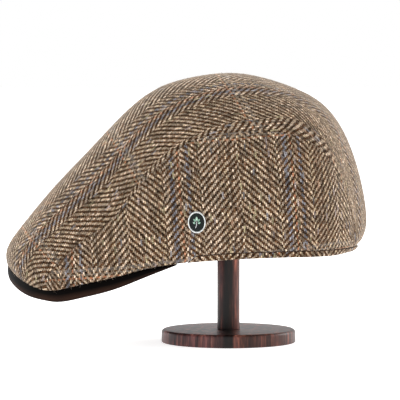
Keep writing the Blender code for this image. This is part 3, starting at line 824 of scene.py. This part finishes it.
def build_stand(wood):
    """A dome, a round post and a round base, all on the Z axis."""
    # The dome's top lies just under the crown's inner face over the post
    line = crown(np.linspace(LAST * 0.4, LAST * 0.75, 200), 2)
    summit = np.interp(0, line[:, 0], line[:, 2]) - CLOTH - DOME_CLEARANCE
    radius = DOME_DIAMETER / 2
    arc = math.asin(radius / DOME_RADIUS) * np.linspace(0, 1, 17)
    profile = [(DOME_RADIUS * math.sin(a), summit - DOME_RADIUS * (1 - math.cos(a))) for a in arc]
    shoulder = profile[-1][1]
    profile += [(radius, shoulder - DOME_EDGE), (0, shoulder - DOME_EDGE)]
    finish_piece(turned("stand_top_wood", profile, wood), "stained_wood", "stand_top")

    low, high = BASE_HEIGHT + CLEARANCE, shoulder - DOME_EDGE - CLEARANCE
    radius = POST_DIAMETER / 2
    profile = [(0, high), (radius, high), (radius, low), (0, low)]
    finish_piece(turned("stand_post_wood", profile, wood), "stained_wood", "stand_post")

    radius = BASE_DIAMETER / 2
    profile = [(0, BASE_HEIGHT), (radius * 0.5, BASE_HEIGHT)]
    profile += [(radius - BASE_EDGE * (1 - math.sin(a)), BASE_HEIGHT - BASE_EDGE * (1 - math.cos(a)))
                for a in np.linspace(0, math.pi / 2, 9)]
    profile += [(radius, BASE_CHAMFER), (radius - BASE_CHAMFER, 0), (0, 0)]
    finish_piece(turned("stand_base_wood", profile, wood), "stained_wood", "stand_base")


# Materials

class Graph:
    """A material's nodes, made and linked by short calls."""

    def __init__(self, name):
        self.material = bpy.data.materials.new(name)
        self.material.use_nodes = True
        self.tree = self.material.node_tree

    def put(self, socket, value):
        """Link a socket to another, or set it to a number or a linear colour."""
        if isinstance(value, bpy.types.NodeSocket):
            self.tree.links.new(value, socket)
        else:
            socket.default_value = (*value, 1.0) if socket.type == "RGBA" else value

    def fill(self, node, inputs):
        for key, value in inputs.items():
            self.put(node.inputs[key.replace("_", " ")], value)
        return node

    def node(self, kind, settings=None, **inputs):
        made = self.tree.nodes.new("ShaderNode" + kind)
        for key, value in (settings or {}).items():
            setattr(made, key, value)
        return self.fill(made, inputs)

    def surface(self, **inputs):
        """The finished material, with its shader's inputs filled."""
        self.fill(self.tree.nodes["Principled BSDF"], inputs)
        return self.material

    def calc(self, operation, *values):
        made = self.node("Math", {"operation": operation})
        for socket, value in zip(made.inputs, values):
            self.put(socket, value)
        return made.outputs[0]

    add = partialmethod(calc, "ADD")
    sub = partialmethod(calc, "SUBTRACT")
    mul = partialmethod(calc, "MULTIPLY")
    div = partialmethod(calc, "DIVIDE")
    scaled = partialmethod(calc, "MULTIPLY_ADD")  # value, factor and what is added
    power = partialmethod(calc, "POWER")
    modulo = partialmethod(calc, "FLOORED_MODULO")
    floor = partialmethod(calc, "FLOOR")
    fract = partialmethod(calc, "FRACT")
    size = partialmethod(calc, "ABSOLUTE")
    least = partialmethod(calc, "MINIMUM")
    most = partialmethod(calc, "MAXIMUM")
    above = partialmethod(calc, "GREATER_THAN")
    below = partialmethod(calc, "LESS_THAN")
    near = partialmethod(calc, "COMPARE")  # value, centre and how far off it may be

    def mix(self, share, a, b, blend="MIX"):
        made = self.node("Mix", {"data_type": "RGBA", "blend_type": blend})
        for index, value in ((0, share), (6, a), (7, b)):
            self.put(made.inputs[index], value)
        return made.outputs[2]

    def tint(self, colour, factor):
        return self.mix(1.0, colour, factor, "MULTIPLY")

    def ramp(self, value, stops, interpolation="LINEAR"):
        made = self.node("ValToRGB", Fac=value)
        ramp = made.color_ramp
        ramp.interpolation = interpolation
        while len(ramp.elements) < len(stops):
            ramp.elements.new(1.0)
        for element, (place, colour) in zip(ramp.elements, stops):
            element.position = place
            element.color = (*colour, 1.0)
        return made.outputs[0]

    def choice(self, value, colours):
        """One of some sRGB colours, each for an equal share of the values from 0 to 1."""
        stops = [(k / len(colours), srgb(*colour)) for k, colour in enumerate(colours)]
        return self.ramp(value, stops, "CONSTANT")

    def vector(self, x, y, z=0.0):
        return self.node("CombineXYZ", X=x, Y=y, Z=z).outputs[0]

    def random(self, x, y, seed):
        """A random number for each whole x, y and seed, from 0 to 1."""
        made = self.node("TexWhiteNoise", {"noise_dimensions": "3D"}, Vector=self.vector(x, y, seed))
        return made.outputs["Value"]

    def noise(self, vector, scale, detail=2.0, roughness=0.5):
        made = self.node("TexNoise", Vector=vector, Scale=scale, Detail=detail, Roughness=roughness)
        return made.outputs["Fac"]

    def split(self, vector):
        return self.node("SeparateXYZ", Vector=vector).outputs

    def cloth_place(self):
        return self.node("UVMap", {"uv_map": "cloth"}).outputs[0]

    def object_place(self):
        return self.node("TexCoord").outputs["Object"]

    def bump(self, height, strength, distance):
        return self.node("Bump", Height=height, Strength=strength, Distance=distance).outputs[0]


def srgb(red, green, blue):
    """Linear colour of an sRGB colour from 0 to 255."""
    return tuple(c / 12.92 if c <= 0.04 else ((c + 0.055) / 1.055) ** 2.4
                 for c in (red / 255, green / 255, blue / 255))


# Colours of the tweed in sRGB from 0 to 255
CREAMS = ((200, 179, 155), (176, 155, 133), (216, 197, 175), (154, 134, 114), (186, 167, 140))
BROWNS = ((44, 22, 7), (32, 15, 4), (60, 33, 14), (39, 20, 7), (50, 26, 9))
MELANGE = (98, 73, 51)  # where a yarn's light and dark wool blend
# Coloured warp threads, by their place in the weave's period
PINSTRIPES = {50: (132, 130, 135), 51: (106, 107, 117), 52: (134, 132, 136), 55: (162, 110, 82),
              60: (128, 127, 132), 61: (108, 109, 116)}
# Coloured weft threads, by their place in the check
CHECK_ROWS = {0: (172, 112, 80), 2: (112, 110, 105), 4: (104, 102, 99), 5: (112, 110, 107)}
CHECK_AT = 163.5 * MM  # along the cloth, the side's row of orange weft
CHECK_PERIOD = 74  # weft threads from one check to the next
# Stray coloured floats: the share of all, and the colour
FLECKS = ((0.012, (146, 114, 92)), (0.012, (124, 123, 127)), (0.010, (150, 140, 110)),
          (0.012, (142, 130, 128)))
CHECK_DYE, PINSTRIPE_DYE, FLECK_DYE = 0.85, 0.92, 0.8  # how much of its colour each shows
SAME_THREAD = 0.4  # a thread's number may be this far off
WANDER = 2.0  # threads between the extremes of a yarn's wandering
WARP_SEED, WEFT_SEED, FLECK_SEED, SHADE_SEED = 3.0, 5.0, 13.0, 17.0


def tweed_material():
    """Two-over-two herringbone: light warp over dark weft, with pinstripes, a weft check and flecks."""
    g = Graph("tweed")
    place = g.cloth_place()
    across, along, _ = g.split(place)
    q = g.add(g.div(across, WARP), g.scaled(g.noise(place, 160.0, 4.0, 0.7), WANDER, -WANDER / 2))
    r = g.add(g.div(along, WEFT), g.scaled(g.noise(place, 190.0, 4.0, 0.7), WANDER, -WANDER / 2))
    i, j = g.floor(q), g.floor(r)
    in_warp, in_weft = g.fract(q), g.fract(r)

    def yarn_noise(per_warp, per_weft, detail, roughness):
        return g.noise(g.vector(g.mul(q, per_warp), g.mul(r, per_weft)), 1.0, detail, roughness)

    # Where the warp lies on top, as in zigzag
    m = g.modulo(g.add(i, 0.5), PERIOD)
    wide = g.sub(WIDE, g.size(g.sub(m, WIDE)))
    narrow = g.sub(NARROW, g.size(g.sub(m, 2 * WIDE + NARROW)))
    back = g.sub(g.above(m, WIDE), g.above(m, 2 * WIDE))
    back = g.add(back, g.above(m, 2 * WIDE + NARROW))
    phase = g.sub(j, g.sub(g.most(wide, narrow), 0.5))
    phase = g.scaled(back, 2.0, phase)
    in_float = g.modulo(phase, REPEAT)
    warp_up = g.below(in_float, 1.5)

    # Colours of the threads
    warp = g.choice(g.random(i, 0.0, WARP_SEED), CREAMS)
    weft = g.choice(g.random(0.0, j, WEFT_SEED), BROWNS)
    row = g.modulo(g.sub(j, round(CHECK_AT / WEFT)), CHECK_PERIOD)
    for thread, colour in CHECK_ROWS.items():
        here = g.near(row, float(thread), SAME_THREAD)
        weft = g.mix(g.mul(here, CHECK_DYE), weft, srgb(*colour))
    yarn = g.mix(warp_up, weft, warp)
    tuft = yarn_noise(1.1, 0.9, 3.0, 0.7)
    tuft = g.least(g.most(g.mul(g.sub(tuft, 0.42), 4.0), 0.0), 0.68)
    yarn = g.mix(tuft, yarn, srgb(*MELANGE))
    for thread, colour in PINSTRIPES.items():
        here = g.mul(g.near(m, thread + 0.5, SAME_THREAD), g.mul(warp_up, PINSTRIPE_DYE))
        yarn = g.mix(here, yarn, srgb(*colour))
    dash = g.floor(g.div(phase, REPEAT))
    pick = g.random(i, dash, FLECK_SEED)
    at = 0.0
    for share, colour in FLECKS:
        here = g.mul(g.above(pick, at), g.below(pick, at + share))
        yarn = g.mix(g.mul(here, FLECK_DYE), yarn, srgb(*colour))
        at += share

    # Shading: uneven wool, and round yarns that are darker where they dip
    fibre = yarn_noise(3.0, 3.0, 3.0, 0.6)
    shade = g.scaled(g.random(i, dash, SHADE_SEED), 1.2, 0.5)
    shade = g.mul(shade, g.scaled(fibre, 1.4, 0.3))
    side = g.mul(g.size(g.sub(in_warp, 0.5)), 2.0)
    edge = g.mul(g.size(g.sub(in_weft, 0.5)), 2.0)
    end = g.size(g.sub(g.add(g.floor(in_float), in_weft), 1.0))
    grain = g.add(g.mul(g.power(side, 2.5), 0.62), g.mul(g.power(end, 3.0), 0.38))
    dip = g.mul(g.power(edge, 2.5), g.scaled(warp_up, -0.5, 0.5))
    rounded = g.sub(1.0, g.add(g.mul(grain, warp_up), dip))
    shade = g.mul(shade, g.most(rounded, 0.12))
    speck = yarn_noise(1.7, 1.7, 1.0, 0.5)
    shade = g.mul(shade, g.most(g.scaled(speck, 3.2, -0.5), 0.3))
    colour = g.tint(yarn, shade)
    colour = g.tint(colour, g.scaled(g.noise(place, 430.0, 2.0, 0.6), 2.0, -0.1))
    patch = g.ramp(g.noise(place, 22.0, 3.0), [(0.3, (0.92, 0.91, 0.90)), (0.7, (1.05, 1.04, 1.03))])
    height = g.add(g.mul(rounded, 0.6), g.mul(warp_up, 0.5))
    height = g.scaled(fibre, 0.6, height)
    return g.surface(Base_Color=g.tint(colour, patch), Roughness=0.92, Specular_IOR_Level=0.08,
                     Sheen_Weight=0.55, Sheen_Roughness=0.3, Sheen_Tint=(0.95, 0.82, 0.68),
                     Normal=g.bump(height, 0.55, 0.35 * MM))


def leather_material():
    """Dark brown smooth leather with a fine grain, its upper part darkened as painted shade and its lower
    part and underside lightened as a painted highlight.
    """
    g = Graph("peak_leather")
    place = g.object_place()
    grain = g.node("TexVoronoi", {"feature": "DISTANCE_TO_EDGE"}, Vector=place, Scale=900.0)
    grain = grain.outputs["Distance"]
    mottle = g.noise(place, 60.0, 4.0)
    colour = g.ramp(mottle, [(0.3, srgb(20, 12, 9)), (0.7, srgb(32, 20, 15))])
    colour = g.tint(colour, g.ramp(grain, [(0.0, (0.72, 0.70, 0.68)), (0.12, (1.0, 1.0, 1.0))]))
    band = g.div(g.split(g.cloth_place())[1], PEAK_RIM_HEIGHT + LEATHER_RISE)
    # Painted light down the band: darker over its upper part as painted shade under the cloth's edge, lighter
    # over its lower part and the underside as a painted highlight
    painted_shade_and_highlight = g.ramp(band, [(0.45, (0.08, 0.06, 0.05)), (0.8, (2.1, 2.05, 1.95))])
    height = g.add(grain, g.mul(g.noise(place, 1400.0, 3.0), 0.3))
    return g.surface(Base_Color=g.tint(colour, painted_shade_and_highlight), Roughness=g.scaled(mottle, 0.16, 0.58),
                     Specular_IOR_Level=0.04, Normal=g.bump(height, 0.25, 0.12 * MM))


def wood_material():
    """Dark stained and lacquered wood with a streaky grain up the post, lighter towards the post's left and
    right and darker down its middle as painted reflections.
    """
    g = Graph("dark_wood")
    x, y, z = g.split(g.object_place())
    stretched = g.vector(x, y, g.mul(z, 0.09))
    grain = g.noise(stretched, 420.0, 5.0, 0.6)
    streak = g.noise(stretched, 150.0, 3.0, 0.5)
    colour = g.ramp(grain, [(0.32, srgb(26, 18, 18)), (0.5, srgb(58, 34, 30)), (0.66, srgb(98, 58, 48)),
                            (0.74, srgb(150, 108, 92))])
    # Painted light across x: lighter towards the left and right of the post and darker down its middle, as
    # painted reflections; the dome and the base share it, with a dark strip across their middle
    painted_reflections = g.ramp(g.add(g.div(x, POST_DIAMETER), 0.5), [
        (0.05, (3.4, 3.4, 4.0)), (0.36, (0.3, 0.33, 0.31)), (0.62, (0.26, 0.28, 0.26)),
        (0.8, (4.0, 3.6, 3.3)), (0.97, (2.6, 2.4, 2.2))])
    dark = g.ramp(streak, [(0.42, (0.35, 0.38, 0.38)), (0.6, (1.0, 1.0, 1.0))])
    return g.surface(Base_Color=g.tint(g.tint(colour, painted_reflections), dark), Roughness=g.scaled(grain, 0.3, 0.3),
                     Specular_IOR_Level=0.2, Coat_Weight=0.15, Coat_Roughness=0.2,
                     Normal=g.bump(grain, 0.3, 0.2 * MM))


def mottled_material(name, scale, detail, dark, pale, roughness, spread=0.0, **inputs):
    """A material between two sRGB colours, each with its level of a fine noise that may roughen it too."""
    g = Graph(name)
    noise = g.noise(g.object_place(), scale, detail)
    colour = g.ramp(noise, [(level, srgb(*shade)) for level, shade in (dark, pale)])
    if spread:
        roughness = g.scaled(noise, spread, roughness)
    return g.surface(Base_Color=colour, Roughness=roughness, **inputs)


# Stage

CAMERA_ELEVATION = 3.0
CAMERA_DISTANCE = 2.2
CAMERA_TARGET = Vector((-0.0221, 0.0, 0.11005))
CAMERA_LENS = 255.5
FLOOR_SIZE = 30.0
FLOOR_DROP = 0.2 * MM  # keeps the floor clear of the base's flat underside
LIGHTS = (("key", (0.1, 0.9, 1.3), 8.0), ("left", (-1.4, 0.9, 0.7), 13.0), ("right", (1.4, 0.7, 0.6), 12.0))
LIGHT_SIZE = 0.9
LIGHT_TARGET = Vector((0.0, 0.0, 0.12))


def aim(thing, place, direction):
    """Put a lamp or camera at a place, look in a direction and link it to the scene."""
    thing.location = place
    thing.rotation_mode = "QUATERNION"
    thing.rotation_quaternion = direction.to_track_quat("-Z", "Y")
    bpy.context.scene.collection.objects.link(thing)


def build_stage():
    scene = bpy.context.scene
    scene.view_settings.view_transform = "Standard"
    world = bpy.data.worlds.new("studio")
    world.use_nodes = True
    colour, strength = world.node_tree.nodes["Background"].inputs[:2]
    colour.default_value = (1.0, 1.0, 1.0, 1.0)
    strength.default_value = 1.0
    scene.world = world

    for name, place, power in LIGHTS:
        data = bpy.data.lights.new(name, "AREA")
        data.shape = "DISK"
        data.size = LIGHT_SIZE
        data.energy = power
        aim(bpy.data.objects.new(name, data), place, LIGHT_TARGET - Vector(place))

    half = FLOOR_SIZE / 2
    corners = [(x, y, -FLOOR_DROP) for x, y in ((-half, -half), (half, -half), (half, half), (-half, half))]
    mesh = bpy.data.meshes.new("floor")
    mesh.from_pydata(corners, [], [(0, 1, 2, 3)])
    mesh.materials.append(Graph("floor_white").surface(
        Base_Color=(0.8, 0.8, 0.8), Roughness=1.0, Specular_IOR_Level=0.0,
        Emission_Color=(1.0, 1.0, 1.0), Emission_Strength=0.75))
    floor = bpy.data.objects.new("floor", mesh)
    scene.collection.objects.link(floor)

    elevation = math.radians(CAMERA_ELEVATION)
    back = Vector((0, -math.cos(elevation), math.sin(elevation)))
    data = bpy.data.cameras.new("camera")
    data.lens = CAMERA_LENS
    camera = bpy.data.objects.new("camera", data)
    aim(camera, CAMERA_TARGET + back * CAMERA_DISTANCE, -back)
    scene.camera = camera


def main():
    build_stage()
    tweed = tweed_material()
    fibre = mottled_material("wool_fibre", 500.0, 1.0, (0.35, (150, 126, 104)), (0.6, (222, 206, 188)),
                             0.9, Specular_IOR_Level=0.1)
    thread = mottled_material("seam_thread", 1500.0, 2.0, (0.3, (30, 19, 13)), (0.7, (66, 46, 33)),
                              0.8, Specular_IOR_Level=0.1)
    silver = mottled_material("badge_silver", 700.0, 3.0, (0.35, (176, 178, 176)), (0.65, (226, 228, 228)),
                              0.16, 0.16, Metallic=1.0)
    enamel = mottled_material("badge_enamel", 380.0, 2.0, (0.3, (3, 9, 8)), (0.75, (10, 26, 21)),
                              0.08, 0.06, Specular_IOR_Level=0.15)
    green = mottled_material("badge_leaf_green", 900.0, 2.0, (0.35, (92, 140, 116)), (0.65, (188, 216, 198)),
                             0.3, Metallic=0.35)
    build_sides(tweed, fibre)
    build_centre(tweed, fibre)
    build_hem(tweed, thread)
    build_peak(leather_material())
    build_badge(silver, enamel, green)
    build_stand(wood_material())


main()
